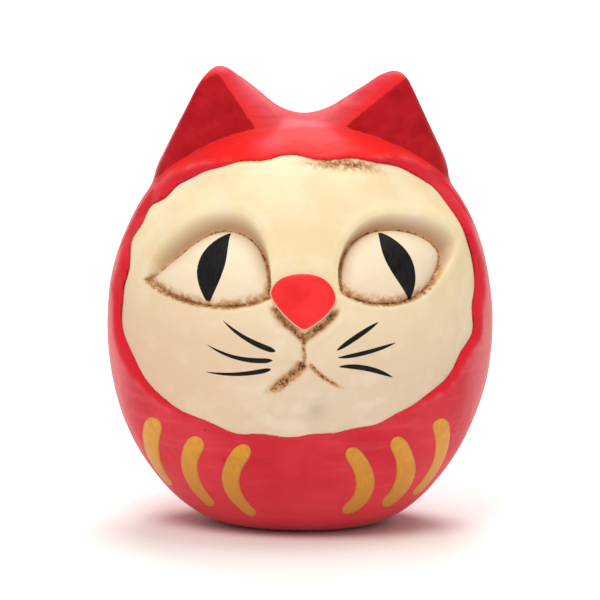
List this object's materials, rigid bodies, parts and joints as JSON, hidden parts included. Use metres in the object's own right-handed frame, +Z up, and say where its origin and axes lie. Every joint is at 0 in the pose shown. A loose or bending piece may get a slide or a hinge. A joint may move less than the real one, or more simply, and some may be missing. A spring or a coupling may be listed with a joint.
{
  "type": "daruma doll",
  "caption": "Egg-shaped cat daruma doll in painted papier-mache, with two pointed ears, a set-in cream face and a weighted flat base.",
  "frame": {"origin": "on the surface the doll stands on, under the middle of its bounding box", "axes": "+Z up through the crown, the face looks along -Y, +X to the right as seen from in front"},
  "size_m": [0.084, 0.077, 0.1],
  "materials": {
    "red_paint": "satin brush-painted vermilion over gesso, paler where it is rubbed",
    "cream_paint": "matte cream gesso with brown antiquing in the carved recesses",
    "eye_paint": "matte pale cream gesso with black painted pupils",
    "nose_paint": "smooth satin bright red",
    "bare_paper": "unpainted layered paper",
    "base_board": "pasted board, painted dark red and rubbed",
    "clay": "unglazed dried clay"
  },
  "bodies": {
    "root": {"shell_front": "red_paint", "shell_back": "red_paint", "left_ear": "red_paint", "right_ear": "red_paint", "face_panel": "cream_paint", "left_eyeball": "eye_paint", "right_eyeball": "eye_paint", "nose": "nose_paint", "seam_strip": "bare_paper", "base_disc": "base_board", "base_weight": "clay"}
  },
  "joints": []
}
